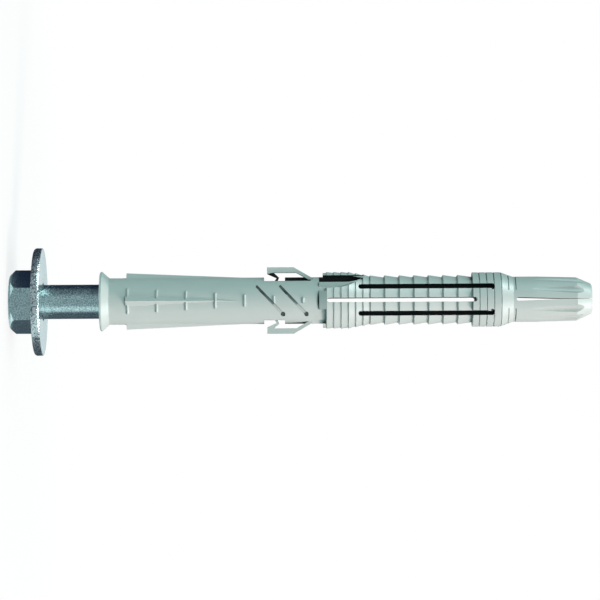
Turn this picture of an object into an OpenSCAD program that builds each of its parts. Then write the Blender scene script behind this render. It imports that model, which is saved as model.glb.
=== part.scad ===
// Wall plug with lag screw, standing on the screw's hexagon head.
// The screw's axis is Z. The origin is the middle of the head's outer face.
// The front of the plug faces -Y, and its two barbs stand out along -X and +X.
// Heights on the plug are measured from the face of its collar.

/* [Screw] */
// Width of the hexagon head across its flats
head_af = 19; // [17:0.5:22]
// Height of the hexagon head
head_h = 8.4; // [6:0.1:10]
// Diameter of the flat left inside the head's chamfer
head_face_d = 18.2; // [15.6:0.2:18.6]
// Angle of the head's chamfer to its outer face
head_chamfer_a = 46; // [20:2:50]
// Turn of the head against the plug's front
head_turn = 4.6; // [0:0.1:30]
// Diameter of the plain shank
shank_d = 11.8; // [10:0.1:12]
// Length of the screw under its head
screw_l = 100; // [90:1:101]
// Length of the thread, point included
thread_l = 60; // [40:1:70]
// Diameter at the bottom of the thread
root_d = 9; // [8:0.1:9.5]
// Rise of the thread for each turn
thread_pitch = 5; // [4:0.5:6]
// Width of the thread's crest
crest_w = 0.5; // [0.3:0.1:0.8]
// Angle of each flank of the thread to a plane across the screw
flank_a = 30; // [20:1:35]
// Length of the tapered point
point_l = 12; // [8:0.5:16]
// Diameter of the point's blunt end
point_d = 1.2; // [0.8:0.1:2]

/* [Washer] */
// Outside diameter of the washer
washer_d = 37; // [30:1:44]
// Thickness of the washer
washer_t = 2.9; // [2:0.1:4]
// Diameter of the washer's hole
washer_hole_d = 13; // [12.4:0.1:14]
// Radius of the rolled edge on the side that meets the head
washer_edge = 1; // [0.3:0.1:1.2]
// Width of the small bevel on the side that meets the wall
washer_bevel = 0.15; // [0.1:0.05:0.4]

/* [Plug body] */
// Length of the plug
plug_l = 168.8; // [166:0.2:190]
// Diameter of the plug's body, the size of hole that it is made for
plug_d = 16; // [15.6:0.1:16.4]
// Shank left bare between the washer and the plug
bare_l = 19.7; // [12:0.1:22]
// Play between the screw and the wide bore, across the diameter
bore_play = 0.6; // [0.3:0.1:0.8]
// Length of the tight land at the mouth that holds the screw
grip_l = 4; // [2:0.5:8]
// Diameter of the narrow bore that the screw opens out
core_d = 8; // [7:0.25:8.5]
// Length of the funnel between the two bores
funnel_l = 4.5; // [3:0.5:6]
// Height at which the funnel ends
funnel_end = 73; // [71:0.5:74]

/* [Collar] */
// Diameter of the collar
collar_d = 20.5; // [18:0.5:24]
// Height of the collar's straight rim
rim_h = 0.9; // [0.6:0.1:1.4]
// Rounding of the rim, as a small bevel
rim_bevel = 0.35; // [0.1:0.05:0.5]
// Height at which the collar's cone ends on the neck
collar_h = 3.2; // [2:0.1:5]

/* [Ridges and depth marks] */
// Height at which the four ridges start
ridge_z = 9; // [6:0.5:12]
// Length of the ridges
ridge_l = 42; // [30:1:44]
// How far the ridges stand out at their start
ridge_out = 1.7; // [1:0.1:2.2]
// Height of the first depth mark
mark_z = 9.7; // [9.5:0.1:11]
// Distance from one depth mark to the next
mark_pitch = 10; // [8:0.5:10]
// Number of depth marks
mark_count = 7; // [3:1:7]
// How far the depth marks stand out
mark_out = 0.5; // [0.2:0.02:0.6]
// Width of a depth mark along the plug
mark_w = 1; // [0.6:0.1:1.4]
// Half length of the first depth mark
mark_first = 4.4; // [3:0.1:5]
// Half length of the last depth mark
mark_last = 0.9; // [0.5:0.1:2]

/* [Barbs] */
// Height at which the barbs' recesses start
recess_z = 56.3; // [54:0.1:58]
// Length of the recess that runs right across the plug
recess_l = 7.2; // [6:0.1:8]
// Height at which a barb's root joins the body
root_z = 72.4; // [71:0.1:74]
// Distance from the axis to the floor of the recess
floor_r = 6.7; // [6.6:0.05:7]
// Distance from the axis to a barb's outer face
barb_r = 11.4; // [10.5:0.1:12]
// Thickness of a barb's outer strip
barb_t = 1.85; // [1.4:0.05:2.1]
// Width of a barb across the plug
barb_w = 7; // [5:0.5:8]
// Height at which a barb starts
barb_z = 57.4; // [57:0.1:58]
// Length of a barb's straight strip
barb_l = 9.1; // [7:0.1:10]
// Thickness of the spring leg under a barb
leg_t = 0.7; // [0.6:0.05:1]
// How far the knee of the spring leg reaches past the barb's start
knee_l = 4.1; // [3.5:0.1:4.5]

/* [Diagonal grooves] */
// Width of the diagonal grooves
diag_w = 0.9; // [0.6:0.05:1.2]
// Depth of the diagonal grooves
diag_depth = 0.35; // [0.2:0.05:0.6]
// Wall left between a groove's deep end and the bore
diag_web = 0.5; // [0.4:0.05:0.8]
// Length of a groove's deep end, with its slope up to the plain depth
diag_deep_l = 9; // [3:0.5:10]
// How far a diagonal groove reaches back past its start
diag_lead = 0.6; // [0.2:0.1:1]
// Diameter of the eye at the end of a diagonal groove
diag_eye_d = 1.5; // [1.3:0.1:1.8]
// Height at which the first diagonal groove starts
diag_z = 54; // [52:0.5:55]
// Distance from the first diagonal groove to the second
diag_pitch = 8; // [7:0.5:9]
// Rise of a diagonal groove along the plug
diag_rise = 8.8; // [7:0.1:9]
// Reach of a diagonal groove across the plug, to each side
diag_reach = 4.65; // [3.5:0.05:4.8]

/* [Expansion zone] */
// Height of the first rib
rib_z = 77.5; // [77:0.1:78]
// Distance from one rib to the next
rib_pitch = 2.5; // [2:0.1:2.5]
// Number of ribs before the teeth
rib_count = 6; // [4:1:6]
// Depth of the step behind each rib
rib_step = 0.32; // [0.1:0.02:0.4]
// How far the ribbed band stands out
band_out = 1.77; // [1.2:0.05:2]
// Distance from the last rib's end to the first tooth's edge
tooth_lead = 0.3; // [0:0.1:0.6]
// Distance from one tooth to the next
tooth_pitch = 5; // [4:0.25:5]
// Number of teeth
tooth_count = 7; // [5:1:7]
// Diameter over the teeth
tooth_d = 17; // [16.2:0.1:17.4]
// Depth of the teeth
tooth_depth = 0.7; // [0.4:0.05:0.9]
// Length of the slope on a tooth's steep side
tooth_slope = 0.5; // [0.2:0.05:0.7]
// Diameter of the ring behind the teeth
ring_d = 18.7; // [17.6:0.1:19.5]
// Length of the ring's straight part
ring_l = 9.7; // [8:0.1:12]
// Length of the cone from the ring down to the nose
ring_cone_l = 4.2; // [2.5:0.1:5]
// Depth of the fine grooves round the ring
groove_depth = 0.26; // [0.1:0.02:0.3]
// Number of fine grooves round the ring, the last one at its end
groove_count = 4; // [2:1:4]
// Distance from one fine groove to the next
groove_pitch = 2.5; // [2:0.1:2.7]
// Width of the fine grooves
groove_w = 0.4; // [0.2:0.05:0.6]

/* [Spring leaves] */
// Height at which the middle pads start
pad_z = 75.2; // [74.5:0.1:76]
// Half width of a middle pad
pad_half = 3.2; // [2.5:0.1:3.8]
// Height of the step at which a middle pad starts
pad_step = 0.6; // [0.2:0.1:1]
// Length of the notch before a middle pad
notch_l = 1; // [0.6:0.1:1.4]
// Height at which the leaves start
leaf_z = 76.5; // [76:0.1:77]
// Distance from the axis to a leaf's underside
leaf_r = 8.55; // [8.3:0.05:8.8]
// Distance from the axis to the floor of the gap under a leaf
gap_r = 6.2; // [5.8:0.1:6.6]
// Distance from the axis to the gap's tip
gap_tip_r = 7.6; // [7:0.1:8.2]
// Bevel under a leaf's free end
leaf_bevel = 0.2; // [0.1:0.05:0.4]
// Length of the gap under a leaf
gap_l = 15; // [12:0.1:15.4]
// Length of the gap's even part
gap_even_l = 9; // [7:0.5:11]
// Distance from the axis to the edge of the smooth flat beside a gap
flat_side = 4.2; // [3.8:0.1:4.4]
// Depth of the smooth flat beside a gap, measured from the axis
flat_y = 6.6; // [6.2:0.1:6.8]
// Length of the flat's straight part
flat_l = 4.8; // [3:0.2:6]

/* [Slots] */
// Width of the middle slot, open from front to back
middle_w = 1.5; // [1:0.1:1.8]
// Height at which the middle slot starts
middle_z = 77.9; // [77.5:0.1:79]
// Length of the middle slot
middle_l = 51.2; // [45:0.1:52]
// Width of the side slots
side_w = 1.6; // [1:0.1:1.8]
// Distance from the axis to a side slot's middle
side_x = 4.6; // [4.2:0.1:5]
// Height at which the side slots start
side_z = 88.6; // [88:0.1:92]
// Length of the side slots
side_l = 46.6; // [40:0.1:47]
// Thickness of the web left between a front and a back side slot
side_web = 2; // [1.2:0.1:3]
// Diameter of the eye that turns in at a side slot's end
side_eye_d = 1.8; // [1.5:0.1:2]

/* [Nose] */
// Diameter of the nose
nose_d = 15.6; // [15.2:0.1:15.8]
// Length of the nose's cylindrical stretch
nose_l = 8; // [6:0.5:10]
// Diameter of the nose where its chamfer starts
nose_end_d = 14.9; // [14.4:0.1:15.2]
// Length of the chamfer at the tip
tip_l = 5.2; // [4:0.1:8]
// Diameter of the tip
tip_d = 10.7; // [10:0.1:12]
// Rounding of the tip, as a small bevel
tip_bevel = 0.4; // [0.2:0.1:1]
// Width of the nose's slit where it starts
slit_w = 1.2; // [0.8:0.1:1.4]
// Length over which the slit narrows
slit_taper_l = 14.5; // [10:0.5:18]
// Width of the nose's slit from there to the tip
slit_end_w = 0.3; // [0.2:0.05:0.6]
// Distance from the nose's start to the slit
slit_offset = 1.6; // [1.2:0.1:3]
// Height at which the flutes start
flute_z = 148.4; // [147:0.2:156]
// Slope of the flutes towards the tip
flute_slope_a = 4.5; // [1:0.25:5]
// Radius of the flutes' section
flute_r = 1.7; // [1.2:0.1:1.8]
// Angle from the slit to the flute beside it
flute_a = 26.5; // [24:0.5:32]
// Angle from one flute to the next
flute_step_a = 32; // [30:1:34]

/* [Hidden] */
$fn = 96;

// Steel screw
shank_r = shank_d / 2;
head_corner_r = head_af / sqrt(3);
chamfer_h = (head_corner_r - head_face_d / 2) * tan(head_chamfer_a);
screw_end = head_h + screw_l;
thread_z = screw_end - thread_l;
point_z = screw_end - point_l;
root_r = root_d / 2;
point_r = point_d / 2;
shank_sink = 0.5;
thread_sink = 0.4;
thread_least = 0.05;
thread_steps = 16;
thread_turns = thread_l / thread_pitch - 1;

// Plug
plug_z = head_h + washer_t + bare_l;
plug_r = plug_d / 2;
bore_r = (shank_d + bore_play) / 2;
core_r = core_d / 2;
collar_r = collar_d / 2;
ridge_sink = 0.1;
mark_sink = 0.3;
band_sink = 0.2;
hair = 0.02;
band_r = plug_r + band_out;
tooth_r = tooth_d / 2;
valley_r = tooth_r - tooth_depth;
teeth_z = rib_z + rib_count * rib_pitch;
ring_z = teeth_z + tooth_lead + tooth_count * tooth_pitch;
ring_step = 0.15;
ring_r = ring_d / 2;
nose_z = ring_z + ring_l + ring_cone_l;
nose_r = nose_d / 2;
nose_end_r = nose_end_d / 2;
tip_r = tip_d / 2;
tip_z = plug_l - tip_l;
gap_end = pad_z + gap_l;
flat_z = pad_z + flat_l;
flat_end = gap_end + 0.3;
flat_curve = 0.033;
flat_r = band_r - 0.8;
notch_floor = sqrt(plug_r * plug_r - pad_half * pad_half);
curve_steps = 6;
barb_sink = 0.1;
root_lap = 0.3;
root_fillet = 0.6;
bend_l = 0.9;
crook_l = 2.2;
crook_in = 0.4;
eye_in = 0.35;
over = 2;
reach = barb_r + over;

// What is on the plug twice, the second time half a turn round
module twice() {
    children();
    rotate([0, 0, 180]) children();
}

// An outline drawn in the XZ plane, given its depth from one Y to another
module slab(from_y, to_y) {
    translate([0, to_y, 0])
        rotate([90, 0, 0])
            linear_extrude(height = to_y - from_y) children();
}

// An outline drawn in the YZ plane, given its width to both sides of the middle plane
module wedge(half_width) {
    translate([-half_width, 0, 0])
        rotate([90, 0, 90])
            linear_extrude(height = 2 * half_width) children();
}

// A straight slot with round ends, cut along Y
module slot(width, length, from_y, to_y) {
    slab(from_y, to_y) {
        translate([-width / 2, width / 2]) square([width, length - width]);
        translate([0, width / 2]) circle(d = width, $fn = 32);
        translate([0, length - width / 2]) circle(d = width, $fn = 32);
    }
}

// Hexagon head, chamfered all round at its outer face
module head() {
    intersection() {
        rotate([0, 0, head_turn]) cylinder(h = head_h, r = head_corner_r, $fn = 6);
        rotate_extrude()
            polygon([
                [0, 0],
                [head_face_d / 2, 0],
                [head_corner_r + hair, chamfer_h + hair],
                [head_corner_r + hair, head_h],
                [0, head_h]
            ]);
    }
}

// Radius of the root and of the crest at a height, both drawn in along the point
function share_left(z) = min(1, (screw_end - z) / point_l);
function root_at(z) = point_r + (root_r - point_r) * share_left(z);
function crest_at(z) = point_r + (shank_r - point_r) * share_left(z);

// The thread grows out of the core over its first half turn, and sinks into it again over its last
function thread_share(turn) = max(0, min(1, 2 * turn, 2 * (thread_turns - turn)));

// Section of the thread at one step of its helix: foot, crest, crest, foot
function thread_section(step) = let (
    turn = step / thread_steps,
    a = 360 * turn,
    z = thread_z + thread_pitch * (turn + 0.5),
    foot = root_at(z) - thread_sink,
    crest = foot + (crest_at(z) - foot) * thread_share(turn) + thread_least,
    half_foot = crest_w / 2 + (crest - foot) * tan(flank_a)
) [
    [foot * cos(a), foot * sin(a), z - half_foot],
    [crest * cos(a), crest * sin(a), z - crest_w / 2],
    [crest * cos(a), crest * sin(a), z + crest_w / 2],
    [foot * cos(a), foot * sin(a), z + half_foot]
];

// Right-hand thread, one closed ribbon wound round the core
module thread() {
    steps = floor(thread_steps * thread_turns);
    polyhedron(
        points = [for (step = [0 : steps]) each thread_section(step)],
        faces = concat(
            [[0, 2, 1], [0, 3, 2]],
            [for (step = [0 : steps - 1], side = [0 : 3]) let (
                a = 4 * step + side,
                b = 4 * step + (side + 1) % 4
            ) each [[a, b + 4, a + 4], [a, b, b + 4]]],
            [[4 * steps, 4 * steps + 1, 4 * steps + 2], [4 * steps, 4 * steps + 2, 4 * steps + 3]]
        )
    );
}

module lag_screw() {
    color([0.62, 0.66, 0.67]) {
        head();
        rotate_extrude()
            polygon([
                [0, head_h - shank_sink],
                [shank_r, head_h - shank_sink],
                [shank_r, thread_z - shank_r + root_r],
                [root_r, thread_z],
                [root_r, point_z],
                [point_r, screw_end],
                [0, screw_end]
            ]);
        thread();
    }
}

// Large flat washer, its edge rolled on the side of the head
module washer() {
    washer_r = washer_d / 2;
    hole_r = washer_hole_d / 2;
    color([0.70, 0.74, 0.75])
        translate([0, 0, head_h])
            rotate_extrude()
                union() {
                    polygon([
                        [hole_r, 0],
                        [washer_r - washer_edge, 0],
                        [washer_r - washer_edge, washer_edge],
                        [washer_r, washer_edge],
                        [washer_r, washer_t - washer_bevel],
                        [washer_r - washer_bevel, washer_t],
                        [hole_r, washer_t]
                    ]);
                    translate([washer_r - washer_edge, washer_edge]) circle(r = washer_edge, $fn = 48);
                }
}

// Half outline of the collar and the plain body
module body() {
    rotate_extrude()
        polygon([
            [0, 0],
            [collar_r - rim_bevel, 0],
            [collar_r, rim_bevel],
            [collar_r, rim_h - rim_bevel / 2],
            [collar_r - rim_bevel / 2, rim_h],
            [plug_r, collar_h],
            [plug_r, teeth_z - rib_pitch],
            [valley_r, teeth_z],
            [0, teeth_z]
        ]);
}

// Four tapered ridges, the corners of a square set corner to front
module ridges() {
    translate([0, 0, ridge_z])
        cylinder(h = ridge_l, r1 = plug_r + ridge_out, r2 = plug_r - ridge_sink, $fn = 4);
}

// Depth marks, low ribs across the front and the back that grow shorter
function mark_half(i) = mark_first + (mark_last - mark_first) * i / (mark_count - 1);

module depth_marks() {
    for (i = [0 : mark_count - 1])
        intersection() {
            translate([0, 0, mark_z + i * mark_pitch])
                rotate_extrude()
                    polygon([
                        [plug_r - mark_sink, -mark_w / 2],
                        [plug_r, -mark_w / 2],
                        [plug_r + mark_out, -mark_w * 0.1],
                        [plug_r + mark_out, mark_w * 0.1],
                        [plug_r, mark_w / 2],
                        [plug_r - mark_sink, mark_w / 2]
                    ]);
            translate([-mark_half(i), -reach, mark_z + i * mark_pitch - mark_w])
                cube([2 * mark_half(i), 2 * reach, 2 * mark_w]);
        }
}

// Ribbed band: ribs with a step behind each, the last ones drawn in to the teeth
function band_at(z) = let (taper_z = rib_z + 3 * rib_pitch)
    z < taper_z ? band_r : band_r + (tooth_r - band_r) * (z - taper_z) / (teeth_z - taper_z);

module band() {
    rotate_extrude()
        polygon(concat(
            [[valley_r - band_sink, pad_z], [band_r - rib_step, pad_z]],
            [for (i = [0 : rib_count - 1]) each [
                [band_at(rib_z + i * rib_pitch) - rib_step, rib_z + i * rib_pitch],
                [band_at(rib_z + i * rib_pitch), rib_z + i * rib_pitch + rib_step]
            ]],
            [[band_at(teeth_z) - tooth_depth / 2, teeth_z], [valley_r - band_sink, teeth_z]]
        ));
}

// Edge of the smooth flat: straight at first, then curving out across the band
function flat_edge(z) = let (past = max(0, z - flat_z)) flat_side + flat_curve * past * past;

module flat_outline() {
    polygon(concat(
        [[-leaf_r, pad_z - over], [-flat_side, pad_z - over]],
        [for (i = [0 : curve_steps]) let (
            z = flat_z + (flat_end - flat_z) * i / curve_steps
        ) [-flat_edge(z), z]],
        [[-leaf_r, flat_end]]
    ));
}

// What is left out of the band: its start beside the pads, and the smooth flats
module band_cuts() {
    twice() {
        for (side = [-1, 1])
            translate([side * (pad_half + plug_r) / 2, 0, pad_z])
                cube([plug_r - pad_half, 2 * reach, 2 * (rib_z - pad_z)], center = true);
        translate([-pad_half - over, -reach, pad_z - over])
            cube([2 * (pad_half + over), reach, rib_z - pad_z + over]);
        translate([-reach, -reach, pad_z - over])
            cube([reach - plug_r, 2 * reach, leaf_z - pad_z + over]);
        slab(-reach, 0) flat_outline();
    }
}

// Smooth flats beside the gaps, each facing the front or the back
module flats() {
    twice()
        intersection() {
            slab(-flat_y, 0) flat_outline();
            translate([-gap_r - over, -reach, pad_z]) cube([gap_r + over, reach, flat_end - pad_z]);
            cylinder(h = plug_l, r = flat_r);
        }
}

// Middle pads: ramps that rise from a low step to the band's own surface
module pads() {
    pad_l = rib_z + rib_step - pad_z;
    twice()
        intersection() {
            translate([0, 0, pad_z]) cylinder(h = pad_l, r1 = plug_r + pad_step, r2 = band_r - hair);
            translate([-pad_half, -reach, pad_z]) cube([2 * pad_half, reach, 2 * pad_l]);
        }
}

// Thumbnail notch before each pad, a flat that cuts into the body and ends at the pad's step
module notches() {
    twice()
        wedge(pad_half - hair)
            polygon([
                [-notch_floor, pad_z],
                [-plug_r, pad_z - notch_l],
                [notch_floor - 2 * plug_r, pad_z - 2 * notch_l],
                [-reach, pad_z - 2 * notch_l],
                [-reach, pad_z]
            ]);
}

// Gap under each spring leaf, cut from one side to the middle plane and closing towards its tip
module leaf_gaps() {
    mouth_r = plug_r + leaf_bevel;
    even_end = pad_z + gap_even_l;
    twice()
        slab(-reach, 0)
            polygon(concat(
                [
                    [-gap_r, pad_z],
                    [-mouth_r, pad_z],
                    [-mouth_r, leaf_z],
                    [-leaf_r, leaf_z + leaf_bevel],
                    [-leaf_r, even_end + leaf_bevel]
                ],
                [for (i = [curve_steps : -1 : 0]) let (
                    share = i / curve_steps
                ) [
                    -gap_r - (gap_tip_r - gap_r) * share * share,
                    even_end + (gap_end - even_end) * share
                ]]
            ));
}

// Teeth with their steep sides towards the collar, then the ring and the nose
function tooth(i) = let (z = teeth_z + tooth_lead + i * tooth_pitch) [
    [valley_r, z - tooth_slope],
    [tooth_r, z]
];

// Radius of the ring, its cone and the nose at a height
function outer_at(z) = nose_r + (ring_r - nose_r) * max(0, min(1, (nose_z - z) / ring_cone_l));

function groove_place(i) = ring_z + ring_l + (i - groove_count) * groove_pitch;

function groove(z) = [
    [outer_at(z - groove_w / 2), z - groove_w / 2],
    [outer_at(z) - groove_depth, z],
    [outer_at(z + groove_w / 2), z + groove_w / 2]
];

module front_end() {
    rotate_extrude()
        polygon(concat(
            [[0, teeth_z - rib_pitch], [valley_r, teeth_z - rib_pitch]],
            [for (i = [0 : tooth_count - 1]) each tooth(i)],
            [[valley_r, ring_z - ring_step], [ring_r, ring_z]],
            [for (i = [1 : groove_count]) each groove(groove_place(i))],
            [
                [nose_r, nose_z],
                [nose_r, nose_z + nose_l],
                [nose_end_r, tip_z],
                [tip_r, plug_l - tip_bevel],
                [tip_r - tip_bevel, plug_l],
                [0, plug_l]
            ]
        ));
}

// Fine grooves on the ring's cone and the nose, broken at the front and the back
module broken_grooves() {
    for (side = [-1, 1], i = [1, 2]) let (z = groove_place(groove_count + i))
        intersection() {
            translate([0, 0, z])
                rotate_extrude()
                    polygon([
                        [outer_at(z) - groove_depth, 0],
                        [outer_at(z) + groove_depth, -groove_w],
                        [outer_at(z) + groove_depth, groove_w]
                    ]);
            translate([side * (pad_half + reach / 2), 0, z])
                cube([reach, 2 * reach, 2 * over], center = true);
        }
}

// Recess round each barb: right across at first, then from one side only
module recesses() {
    twice() {
        translate([-reach, -reach, recess_z])
            cube([reach - floor_r, 2 * reach, recess_l]);
        translate([-reach, -reach, recess_z])
            cube([reach - floor_r, reach, root_z - recess_z]);
    }
}

// Barb: a straight outer strip that slants down to its root, and a bent spring leg
module barb() {
    inner_r = barb_r - barb_t;
    foot_r = floor_r - barb_sink;
    knee_r = (inner_r + floor_r) / 2 - crook_in;
    knee_z = barb_z + knee_l;
    bend_z = barb_z + barb_l;
    root_end = root_z + shank_sink;
    slab(-barb_w / 2, barb_w / 2)
        polygon([
            [-barb_r, barb_z],
            [-barb_r, bend_z],
            [-(plug_r - root_lap), root_end],
            [-foot_r, root_end],
            [-(floor_r + root_lap), root_z - root_fillet],
            [-inner_r, bend_z + bend_l],
            [-inner_r, barb_z + crook_l],
            [-(inner_r - crook_in), barb_z]
        ]);
    slab(0, barb_w / 2)
        polygon([
            [-inner_r - barb_sink, barb_z + crook_l],
            [-knee_r - crook_in / 2, knee_z],
            [-foot_r, knee_z - root_fillet],
            [-foot_r, knee_z - root_fillet - 1.5 * leg_t],
            [-knee_r, knee_z - 1.25 * leg_t],
            [-(inner_r - crook_in), barb_z]
        ]);
}

// Wide bore for the shank, its tight mouth, the funnel and the narrow bore
module bore() {
    rotate_extrude()
        polygon([
            [0, -over],
            [shank_r, -over],
            [shank_r, grip_l],
            [bore_r, grip_l + bore_r - shank_r],
            [bore_r, funnel_end - funnel_l],
            [core_r, funnel_end],
            [core_r, plug_l + over],
            [0, plug_l + over]
        ]);
}

// Slots: one in the middle, open right through, and two beside it to each side
module slots() {
    translate([0, 0, middle_z]) slot(middle_w, middle_l, -reach, reach);
    twice()
        for (side = [-1, 1]) {
            translate([side * side_x, 0, side_z]) slot(side_w, side_l, -reach, -side_web / 2);
            translate([side * (side_x - eye_in), -side_web / 2, side_z + side_l - side_eye_d / 2])
                rotate([90, 0, 0])
                    cylinder(h = reach, d = side_eye_d, $fn = 32);
        }
}

// Two slanting grooves in the wall, deep where they start and shallow from there on, with an eye at the end
module diagonal_grooves() {
    diag_a = atan(2 * diag_reach / diag_rise);
    diag_l = norm([2 * diag_reach, diag_rise]) + diag_lead;
    diag_floor = plug_r - diag_depth;
    deep_y = sqrt(pow(bore_r + diag_web, 2) - pow(diag_reach, 2));
    twice()
        for (i = [0, 1]) {
            difference() {
                diagonal(i, diag_a) slot(diag_w, diag_l + diag_w, -reach, -deep_y);
                cylinder(h = plug_l, r = diag_floor);
            }
            diagonal(i, diag_a)
                intersection() {
                    slot(diag_w, diag_deep_l, -reach, -deep_y);
                    wedge(diag_w)
                        polygon([
                            [-reach, -diag_w],
                            [-deep_y, -diag_w],
                            [-deep_y, diag_w],
                            [-diag_floor, diag_deep_l],
                            [-reach, diag_deep_l]
                        ]);
                }
            diagonal(i, diag_a)
                translate([0, -deep_y, diag_l])
                    rotate([90, 0, 0])
                        cylinder(h = reach, d = diag_eye_d, $fn = 32);
        }
}

// Places its child at the start of a diagonal groove and turns it along the groove
module diagonal(i, diag_a) {
    translate([-diag_reach, 0, diag_z + i * diag_pitch])
        rotate([0, diag_a, 0])
            translate([0, 0, -diag_lead])
                children();
}

// Slit through the nose, narrower towards the tip
module nose_slit() {
    slit_z = nose_z + slit_offset;
    slab(-reach, reach) {
        polygon([
            [-slit_w / 2, slit_z],
            [slit_w / 2, slit_z],
            [slit_end_w / 2, slit_z + slit_taper_l],
            [slit_end_w / 2, plug_l + over],
            [-slit_end_w / 2, plug_l + over],
            [-slit_end_w / 2, slit_z + slit_taper_l]
        ]);
        translate([0, slit_z]) circle(d = slit_w, $fn = 32);
    }
}

// Leaf-shaped flutes beside the slit, round cuts that slope in towards the tip
module flutes() {
    twice()
        for (side = [-1, 1], i = [0, 1])
            rotate([0, 0, side * (flute_a + i * flute_step_a)])
                translate([0, -nose_r - flute_r, flute_z])
                    rotate([-flute_slope_a, 0, 0])
                        cylinder(h = plug_l - flute_z + over, r = flute_r);
}

module sleeve() {
    color([0.76, 0.81, 0.79])
        translate([0, 0, plug_z])
            difference() {
                union() {
                    difference() {
                        union() {
                            body();
                            ridges();
                            depth_marks();
                            front_end();
                            pads();
                            flats();
                            difference() {
                                band();
                                band_cuts();
                            }
                        }
                        recesses();
                        leaf_gaps();
                    }
                    twice() barb();
                }
                bore();
                slots();
                diagonal_grooves();
                notches();
                nose_slit();
                broken_grooves();
                flutes();
            }
}

lag_screw();
washer();
sleeve();
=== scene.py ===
"""The looks of a wall plug with its lag screw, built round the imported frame."""
import math

import bpy
from mathutils import Matrix, Vector


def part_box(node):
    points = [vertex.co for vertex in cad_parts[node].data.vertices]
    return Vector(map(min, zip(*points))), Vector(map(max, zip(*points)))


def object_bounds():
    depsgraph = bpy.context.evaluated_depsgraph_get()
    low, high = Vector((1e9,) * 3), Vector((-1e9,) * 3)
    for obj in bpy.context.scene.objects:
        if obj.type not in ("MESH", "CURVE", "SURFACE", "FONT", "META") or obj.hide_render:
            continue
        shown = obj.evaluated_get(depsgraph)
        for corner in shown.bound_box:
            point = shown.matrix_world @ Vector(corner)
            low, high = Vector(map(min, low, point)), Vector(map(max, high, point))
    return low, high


MM = 0.001
WHITE = (1, 1, 1, 1)

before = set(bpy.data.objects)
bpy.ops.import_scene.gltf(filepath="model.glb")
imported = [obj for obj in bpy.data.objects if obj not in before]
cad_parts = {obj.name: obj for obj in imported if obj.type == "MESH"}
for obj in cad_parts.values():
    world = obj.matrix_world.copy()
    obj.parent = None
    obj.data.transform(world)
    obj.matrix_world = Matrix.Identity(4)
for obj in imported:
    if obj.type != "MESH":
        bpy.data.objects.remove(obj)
cad_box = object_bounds()

# Places on the object, from the frame: the first two in millimetres, the third in metres
WASHER_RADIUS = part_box("washer")[1].x / MM
PLUG_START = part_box("sleeve")[0].z / MM
OBJECT_MIDDLE = (cad_box[0] + cad_box[1]) / 2

# The photograph's camera: where it stands, and how its picture sits on the plug
CAMERA_DISTANCE = 1.0
CAMERA_TURN = math.radians(0.9)
CAMERA_NEAR = 0.05
CAMERA_FAR = 20.0
PIXELS_PER_MM = 2.906
PHOTO_SIZE = 600
PHOTO_COLLAR_PIXEL = 100.5
PHOTO_AXIS_PIXEL = 300.5
AXIS_TILT = math.radians(0.33)
SENSOR = 36.0

# Nylon: its colours, and the painted shade at the bottom of an open groove and the darker painted shade
# inside a slot
NYLON_COLOURS = (0.59, 0.63, 0.60, 1), (0.64, 0.69, 0.66, 1)
GROOVE_PAINTED_SHADE = (0.25, 0.30, 0.30, 1)
SLOT_PAINTED_SHADE = (0.01, 0.015, 0.017, 1)

# Nylon's slots, in millimetres: where the slotted end starts, how far from the axis the slots' walls are,
# and how far out, on the -X side, the gaps behind the leaf and the barb are. These mark where the deep
# painted shade goes;
# in the gaps it is painted on the -X side only, the side away from the lamp
SLOTS_START = PLUG_START + 74
SLOT_WALLS = (7.9, 7.5)
GAP_SIDE = (6.4, 6.6)

# How far out a place is looked at for the painted shade, in millimetres, and how much the close look leans
# towards the nose, the lamp's side, so that the painted shade falls on the side of a step away from the lamp
SLOT_SIGHT = 4.0
SEAM_SIGHT = 0.8
SEAM_LEAN = 0.8

# How open a place has to be to count as dark and as light in the painted shade, for the close look with the
# painted shade that it gives
GROOVE_OPENNESS = (0.0, 0.55)
SLOT_OPENNESS = (0.45, 0.98)
SEAM_SHADE = (0.5, 0.85, 0.15, 1.0)

# Zinc: its colours on the screw, the washer and the washer's rim, and in its pits
SCREW_COLOURS = (0.43, 0.59, 0.60, 1), (0.53, 0.71, 0.72, 1)
WASHER_COLOURS = (0.50, 0.58, 0.59, 1), (0.62, 0.70, 0.70, 1)
RIM_COLOUR = (0.60, 0.70, 0.71, 1)
PIT_COLOUR = (0.02, 0.04, 0.05, 1)
RIM_START = WASHER_RADIUS - 1.4
RIM_FULL = WASHER_RADIUS - 0.4

# Light: a soft fill that is weaker from below, one lamp from the +X side and the nose,
# and two lamps that only gloss shows, for the glints along the washer's rim
FILL_COLOUR = (0.71, 1.0, 0.985, 1)
FILL_STRENGTH = 0.86
FILL_BELOW = 0.2
FILL_HORIZON = (-0.5, 0.1)
LAMP_DIRECTION = Vector((0.671, -0.357, 0.65))
LAMP_DISTANCE = 1.2
LAMP_SIZE = 0.3
LAMP_POWER = 9.8
LAMP_COLOUR = (1.0, 0.72, 0.73)
GLINTS = {
    "upper_glint_lamp": (Vector((-0.75, -0.351, 0.562)), 44.0),
    "lower_glint_lamp": (Vector((0.42, -0.27, 0.87)), 30.0),
}
GLINT_COLOUR = (0.84, 1.0, 1.0)

# Floor: its colour, how white it shows where the object stands, and how far it takes to fade out
FLOOR_SIZE = 6.0
FLOOR_COLOUR = (0.85, 0.85, 0.85, 1)
FLOOR_WHITE = 0.8
FLOOR_FADE = 260

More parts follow.
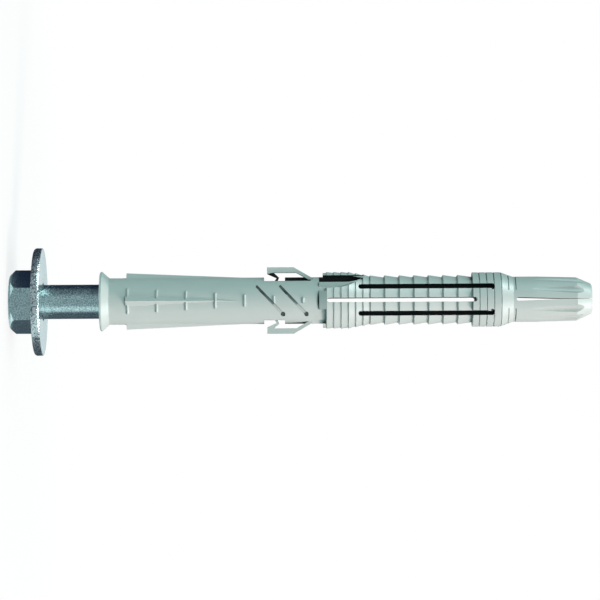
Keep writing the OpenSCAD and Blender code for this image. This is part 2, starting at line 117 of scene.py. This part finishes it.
# Tent of cards that only gloss shows. Its brightness changes with the angle from the object's front:
# each step goes from one angle to the next and adds so much
TENT_SIDES = 96
TENT_RADIUS = 0.6
TENT_HEIGHT = 0.75
TENT_LIFT = 0.2 * MM
TENT_TINT = (0.86, 0.98, 1.0, 1)
TENT_SHADE = (0.0, 0.005, 0.035, 1)
TENT_BACK = 0.88
TENT_STEPS = (
    (-170, -158, -0.86),
    (-110, -65, 0.13),
    (-60, -25, 0.30),
    (24, 44, 0.59),
    (58, 80, -0.90),
    (135, 150, -0.12),
    (158, 170, 0.86),
)

# The tent's floor close to the head, which the head's chamfer mirrors, brighter at two of its corners.
# The last two are where the corners start and where the floor goes dark, in millimetres from the axis
FOOT_STEPS = (
    (-48, -42, 1.0),
    (-14, -8, -1.0),
    (20, 26, 1.0),
    (48, 54, -1.0),
)
FOOT_GLOW = 0.35
FOOT_CORNER = (9.6, 10.0)
FOOT_REACH = (13, 15)


class Wire:
    """A value in a material. An expression on wires adds the Math nodes that work it out."""

    def __init__(self, recipe, socket):
        self.recipe = recipe
        self.socket = socket

    def math(self, operation, *others):
        sockets = dict(enumerate((self, *others)))
        return self.recipe.add("ShaderNodeMath", {"operation": operation}, sockets)

    def __add__(self, other):
        return self.math("ADD", other)

    def __rsub__(self, other):
        return self.recipe.add("ShaderNodeMath", {"operation": "SUBTRACT"}, {0: other, 1: self})

    def __mul__(self, other):
        return self.math("MULTIPLY", other)

    def __pow__(self, other):
        return self.math("POWER", other)

    __radd__ = __add__
    __rmul__ = __mul__

    def between(self, low, high, to_low=0.0, to_high=1.0):
        """Smooth step from one value to another."""
        sockets = {"Value": self, "From Min": low, "From Max": high, "To Min": to_low, "To Max": to_high}
        return self.recipe.add("ShaderNodeMapRange", {"interpolation_type": "SMOOTHSTEP"}, sockets)


class Recipe:
    """The nodes of one material or of the world, and the shader that they feed."""

    def __init__(self, owner, output="ShaderNodeOutputMaterial"):
        owner.use_nodes = True
        self.owner = owner
        self.output = output
        self.nodes = owner.node_tree.nodes
        self.links = owner.node_tree.links
        self.nodes.clear()

    def add(self, kind, settings=None, sockets=None, output=0):
        """Adds a node, makes its settings, then fills its sockets with numbers or wires."""
        node = self.nodes.new(kind)
        for key, value in (settings or {}).items():
            setattr(node, key, value)
        for key, value in (sockets or {}).items():
            if isinstance(value, Wire):
                self.links.new(value.socket, node.inputs[key])
            else:
                node.inputs[key].default_value = value
        return Wire(self, node.outputs[output]) if node.outputs else None

    def split(self, point):
        """The three numbers of a point."""
        node = self.add("ShaderNodeSeparateXYZ", sockets={0: point}).socket.node
        return [Wire(self, node.outputs[i]) for i in range(3)]

    def point(self):
        """Position on the object, in metres."""
        return self.add("ShaderNodeTexCoord", output=3)

    def coordinates(self):
        """Position on the object as three numbers and the distance from its axis, in millimetres."""
        x, y, z = (axis * (1 / MM) for axis in self.split(self.point()))
        return x, y, z, (x * x + y * y) ** 0.5

    def noise(self, per_mm, detail=3.0, roughness=0.5):
        """Noise of so many bumps to a millimetre."""
        sockets = {"Vector": self.point(), "Scale": per_mm / MM, "Detail": detail, "Roughness": roughness}
        return self.add("ShaderNodeTexNoise", sockets=sockets)

    def blend(self, factor, first, second):
        """Mixes two colours."""
        settings = {"data_type": "RGBA", "clamp_factor": False}
        return self.add("ShaderNodeMix", settings, {0: factor, 6: first, 7: second}, output=2)

    def openness(self, reach, lean=0.0):
        """How open a place is, 1 in the open and 0 at the bottom of a slot, seen so many millimetres out.

        With a lean it is looked at more towards the nose, the side that the lamp is on.
        """
        outward = self.add("ShaderNodeNewGeometry", output=1)
        leaning = self.add("ShaderNodeVectorMath", {"operation": "ADD"}, {0: outward, 1: (0, 0, lean)})
        way = self.add("ShaderNodeVectorMath", {"operation": "NORMALIZE"}, {0: leaning})
        sockets = {"Distance": reach * MM, "Normal": way}
        return self.add("ShaderNodeAmbientOcclusion", {"samples": 8}, sockets, output=1)

    def roughness(self, grain, smooth, rough):
        """Roughness that goes with the grain."""
        return grain.between(0.2, 0.8, smooth, rough)

    def soft_bump(self, height, edge, strength, depth):
        """Edges rounded by so many millimetres, with a bump on top."""
        rounded = self.add("ShaderNodeBevel", {"samples": 4}, {"Radius": edge * MM})
        sockets = {"Strength": strength, "Distance": depth * MM, "Height": height, "Normal": rounded}
        return self.add("ShaderNodeBump", sockets=sockets)

    def surface(self, sockets):
        """Ends a material with a surface of these values."""
        return self.finish(self.add("ShaderNodeBsdfPrincipled", sockets=sockets))

    def glow(self, colour):
        return self.add("ShaderNodeEmission", sockets={"Color": colour, "Strength": 1.0})

    def finish(self, shader):
        self.add(self.output, sockets={"Surface": shader})
        return self.owner


def new_material(name):
    return Recipe(bpy.data.materials.new(name))


def grey_nylon():
    """Moulded nylon: light grey with a faint green cast, a fine grain and soft edges, with painted shade in
    its grooves and creases and near-black painted shade in its slots and gaps.
    """
    r = new_material("grey_nylon")
    x, y, z, away = r.coordinates()
    grain = r.noise(per_mm=9.0)
    clean = r.blend(r.noise(per_mm=0.12), *NYLON_COLOURS)
    # Painted shade: the colour darkens where little around a place is open, in grooves, creases and at the
    # foot of steps, more on the side of a step away from the lamp
    wide = r.openness(SLOT_SIGHT)
    near = r.openness(SEAM_SIGHT, SEAM_LEAN)
    # Painted deep shade, near black, inside the slots and in the gaps behind the leaf and the barb on the -X
    # side, the side away from the lamp
    in_slots = z.between(SLOTS_START, SLOTS_START + 1) * away.between(*SLOT_WALLS)
    painted_deep_shade = (x * -1).between(*GAP_SIDE).math("MAXIMUM", in_slots)
    groove_light = wide.between(*GROOVE_OPENNESS) * near.between(*SEAM_SHADE)
    light = groove_light * (1 - painted_deep_shade) + wide.between(*SLOT_OPENNESS) * painted_deep_shade
    dark = r.blend(painted_deep_shade, GROOVE_PAINTED_SHADE, SLOT_PAINTED_SHADE)
    return r.surface({
        "Base Color": r.blend(light, dark, clean),
        "Roughness": r.roughness(grain, smooth=0.42, rough=0.55),
        "IOR": 1.52,
        "Specular IOR Level": 0.3,
        "Normal": r.soft_bump(grain, edge=0.12, strength=0.12, depth=0.02),
    })


def zinc_plated_screw():
    """Bright zinc on forged steel: blue-grey, cloudy, finely pitted."""
    r = new_material("zinc_plated_screw")
    grain = r.noise(per_mm=2.4, detail=4.0, roughness=0.6)
    clean = r.blend(r.noise(per_mm=0.25), *SCREW_COLOURS)
    pits = grain.between(0.4, 0.6, 0.62, 1.12)
    return r.surface({
        "Base Color": r.blend(pits, PIT_COLOUR, clean),
        "Metallic": 1.0,
        "Roughness": r.roughness(grain, smooth=0.16, rough=0.28),
        "Normal": r.soft_bump(grain, edge=0.25, strength=0.4, depth=0.05),
    })


def zinc_plated_washer():
    """Bright zinc on punched steel, coarse where the punch sheared its rim."""
    r = new_material("zinc_plated_washer")
    x, y, z, away = r.coordinates()
    rim = away.between(RIM_START, RIM_FULL)
    grain = r.noise(per_mm=1.9, detail=4.0, roughness=0.6)
    clean = r.blend(rim, r.blend(r.noise(per_mm=0.2), *WASHER_COLOURS), RIM_COLOUR)
    pits = grain.between(0.41, 0.49, 0.9 - 0.7 * rim, 1.0)
    height = grain * rim.between(0, 1, 0.25, 1.0)
    return r.surface({
        "Base Color": r.blend(pits, PIT_COLOUR, clean),
        "Metallic": 1.0,
        "Roughness": r.roughness(grain, smooth=0.16 + 0.04 * rim, rough=0.3 + 0.03 * rim),
        "Normal": r.soft_bump(height, edge=1.1, strength=1.0, depth=0.13),
    })


def photograph_camera():
    """Camera that looks square at the plug's front, with the plug lying along the picture."""
    focal_pixels = PIXELS_PER_MM * CAMERA_DISTANCE / MM
    pixel = MM / PIXELS_PER_MM
    data = bpy.data.cameras.new("photograph_camera")
    data.sensor_width = SENSOR
    data.lens = focal_pixels / PHOTO_SIZE * SENSOR
    data.clip_start = CAMERA_NEAR
    data.clip_end = CAMERA_FAR
    camera = bpy.data.objects.new("photograph_camera", data)
    bpy.context.scene.collection.objects.link(camera)
    along, across = math.cos(AXIS_TILT), math.sin(AXIS_TILT)
    side = Vector((-math.cos(CAMERA_TURN), -math.sin(CAMERA_TURN), 0))
    back = Vector((math.sin(CAMERA_TURN), -math.cos(CAMERA_TURN), 0))
    axis = Vector((0, 0, 1))
    right = axis * along - side * across
    up = side * along + axis * across
    aim = axis * (PLUG_START * MM + (PHOTO_SIZE / 2 - PHOTO_COLLAR_PIXEL) * pixel)
    aim += side * (PHOTO_AXIS_PIXEL - PHOTO_SIZE / 2) * pixel
    turn = Matrix((right, up, back)).transposed().to_4x4()
    camera.matrix_world = Matrix.Translation(aim + back * CAMERA_DISTANCE) @ turn
    bpy.context.scene.camera = camera


def square_lamp(name, direction, power, colour):
    """Square lamp that faces the middle of the object."""
    data = bpy.data.lights.new(name, "AREA")
    data.size = LAMP_SIZE
    data.energy = power
    data.color = colour
    lamp = bpy.data.objects.new(name, data)
    bpy.context.scene.collection.objects.link(lamp)
    lamp.location = OBJECT_MIDDLE + direction.normalized() * LAMP_DISTANCE
    lamp.rotation_euler = direction.to_track_quat("Z", "Y").to_euler()
    return lamp


def lamps():
    """The side lamp, and the two that only gloss shows."""
    square_lamp("side_lamp", LAMP_DIRECTION, LAMP_POWER, LAMP_COLOUR)
    for name, (direction, power) in GLINTS.items():
        square_lamp(name, direction, power, GLINT_COLOUR).visible_diffuse = False


def background_rays(r):
    """1 for the rays that see the background: from the camera, in gloss and through glass."""
    path = r.add("ShaderNodeLightPath").socket.node
    kinds = ("Is Camera Ray", "Is Glossy Ray", "Is Transmission Ray")
    camera, gloss, through = (Wire(r, path.outputs[kind]) for kind in kinds)
    return camera.math("MAXIMUM", gloss).math("MAXIMUM", through)


def surroundings():
    """White for the rays that see the background. All others find a soft light, weaker from below."""
    world = bpy.data.worlds.new("surroundings")
    bpy.context.scene.world = world
    r = Recipe(world, "ShaderNodeOutputWorld")
    world.cycles.sampling_method = "NONE"
    x, y, z = r.split(r.add("ShaderNodeTexCoord"))
    strength = z.between(*FILL_HORIZON, FILL_STRENGTH * FILL_BELOW, FILL_STRENGTH)
    fill = r.add("ShaderNodeBackground", sockets={"Color": FILL_COLOUR, "Strength": strength})
    white = r.add("ShaderNodeBackground", sockets={"Color": WHITE, "Strength": 1.0})
    r.finish(r.add("ShaderNodeMixShader", sockets={0: background_rays(r), 1: fill, 2: white}))


def pale_floor():
    """Pale floor that carries the object's shadow and fades into the white round it."""
    bpy.ops.mesh.primitive_plane_add(size=FLOOR_SIZE, location=(0, 0, 0))
    floor = bpy.context.object
    floor.name = "floor"
    r = new_material("pale_floor")
    x, y, z, away = r.coordinates()
    matt = r.add("ShaderNodeBsdfDiffuse", sockets={"Color": FLOOR_COLOUR})
    share = background_rays(r) * away.between(0, FLOOR_FADE, FLOOR_WHITE, 1.0)
    shader = r.add("ShaderNodeMixShader", sockets={0: share, 1: matt, 2: r.glow(WHITE)})
    floor.data.materials.append(r.finish(shader))
    floor.visible_diffuse = False


def step_sum(angle, steps, start=0.0):
    """A brightness that goes up and down in steps along an angle."""
    total = start
    for first, last, change in steps:
        total = angle.between(first, last, 0, change) + total
    return total


def tent_glow():
    """Brightness of the tent's wall, and of its floor close to the head."""
    r = new_material("gloss_tent")
    x, y, z, away = r.coordinates()
    angle = x.math("ARCTAN2", y * -1) * math.degrees(1)
    wall = step_sum(angle, TENT_STEPS, TENT_BACK)
    corners = step_sum(angle, FOOT_STEPS) * away.between(*FOOT_CORNER)
    foot = (corners + FOOT_GLOW) * away.between(*FOOT_REACH, 1, 0)
    return r.finish(r.glow(r.blend(wall.math("MAXIMUM", foot), TENT_SHADE, TENT_TINT)))


def gloss_tent():
    """Round tent of cards on the floor, as a photographer puts one up for metal. Only gloss shows it."""
    bpy.ops.mesh.primitive_cylinder_add(
        vertices=TENT_SIDES, radius=TENT_RADIUS, depth=TENT_HEIGHT, end_fill_type="NGON", location=(0, 0, 0))
    tent = bpy.context.object
    tent.name = "gloss_tent"
    tent.data.transform(Matrix.Translation((0, 0, TENT_HEIGHT / 2 + TENT_LIFT)))
    bpy.ops.object.mode_set(mode="EDIT")
    bpy.ops.mesh.select_all(action="DESELECT")
    bpy.ops.object.mode_set(mode="OBJECT")
    for face in tent.data.polygons:
        face.select = face.center.z > TENT_HEIGHT
    bpy.ops.object.mode_set(mode="EDIT")
    bpy.ops.mesh.delete(type="FACE")
    bpy.ops.object.mode_set(mode="OBJECT")
    tent.data.materials.append(tent_glow())
    tent.visible_camera = False
    tent.visible_diffuse = False
    tent.visible_shadow = False


def dress_cad_nodes():
    """Gives each piece its own finish."""
    finishes = {
        "lag_screw": zinc_plated_screw(),
        "washer": zinc_plated_washer(),
        "sleeve": grey_nylon(),
    }
    for name, material in finishes.items():
        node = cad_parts[name]
        node.data.materials.clear()
        node.data.materials.append(material)


bpy.ops.object.select_all(action="DESELECT")
photograph_camera()
surroundings()
lamps()
pale_floor()
gloss_tent()
dress_cad_nodes()
bpy.context.scene.view_settings.view_transform = "Standard"
